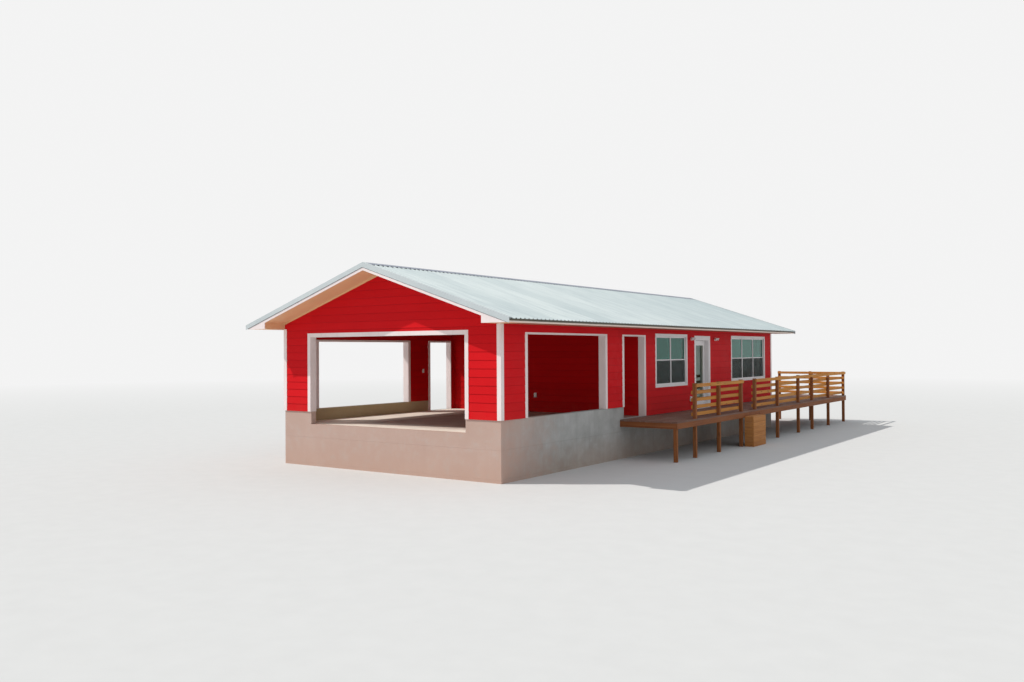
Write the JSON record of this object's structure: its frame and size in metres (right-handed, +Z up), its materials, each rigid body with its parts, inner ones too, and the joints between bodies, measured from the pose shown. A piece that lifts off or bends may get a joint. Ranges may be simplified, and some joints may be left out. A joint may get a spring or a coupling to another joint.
{
  "type": "gable barn with carport and deck",
  "caption": "Red gable barn on a concrete base with an open carport, a closed part with windows, a ribbed metal roof and a railed timber deck.",
  "frame": {"origin": "middle of the front foundation wall's underside, at the lowest ground that the building stands on", "axes": "+X to the building's right as seen from the front, +Y back along its length, +Z up"},
  "size_m": [9.0667, 20.923, 4.7176],
  "materials": {
    "concrete": "matt, cast",
    "red_siding": "satin paint on lapped boards",
    "roof_metal": "coated, ribbed",
    "sheathing": "bare board",
    "white_paint": "satin paint",
    "tan_paint": "satin paint",
    "glass": "clear",
    "door_paint": "satin paint",
    "handle_metal": "satin",
    "deck_timber": "bare, sawn",
    "white_plastic": "matt"
  },
  "bodies": {
    "barn": {"stem_sides": "concrete", "stem_ends": "concrete", "kerb_sides": "concrete", "kerb_front": "concrete", "carport_slab": "concrete", "house_floor": "concrete", "front_piers": "red_siding", "front_gable": "red_siding", "side_wall_fronts": "red_siding", "side_wall_mids": "red_siding", "side_wall_heads": "red_siding", "right_wall_bay": "red_siding", "right_wall_door_head": "red_siding", "right_wall_rear": "red_siding", "left_wall_house": "red_siding", "rear_wall": "red_siding", "house_front_wall": "red_siding", "roof_deck": "sheathing", "roof_sheet_left": "roof_metal", "roof_sheet_right": "roof_metal", "ridge_cap": "roof_metal", "rake_trims": "roof_metal", "barge_boards": "white_paint", "fascias": "tan_paint", "soffits": "tan_paint", "corner_boards": "white_paint", "opening_casings": "white_paint", "window_frames": "white_paint", "window_glass": "glass", "door_frame": "white_paint", "hinge_fixed": "handle_metal", "deck_boards": "deck_timber", "deck_frame": "deck_timber", "deck_posts": "deck_timber", "railings": "deck_timber", "box_step": "deck_timber", "floodlights": "white_plastic", "outlet_covers": "white_plastic"},
    "deck_door": {"door_leaf": "door_paint", "hinge_moving": "handle_metal", "door_glass": "glass", "door_handle": "handle_metal"}
  },
  "joints": [
    {"name": "deck_door_hinge", "type": "hinge", "parent": "barn", "child": "deck_door", "pos_m": [3.117, 10.6965, 2], "axis": [0, 0, -1], "range_deg": [0, 100]}
  ]
}
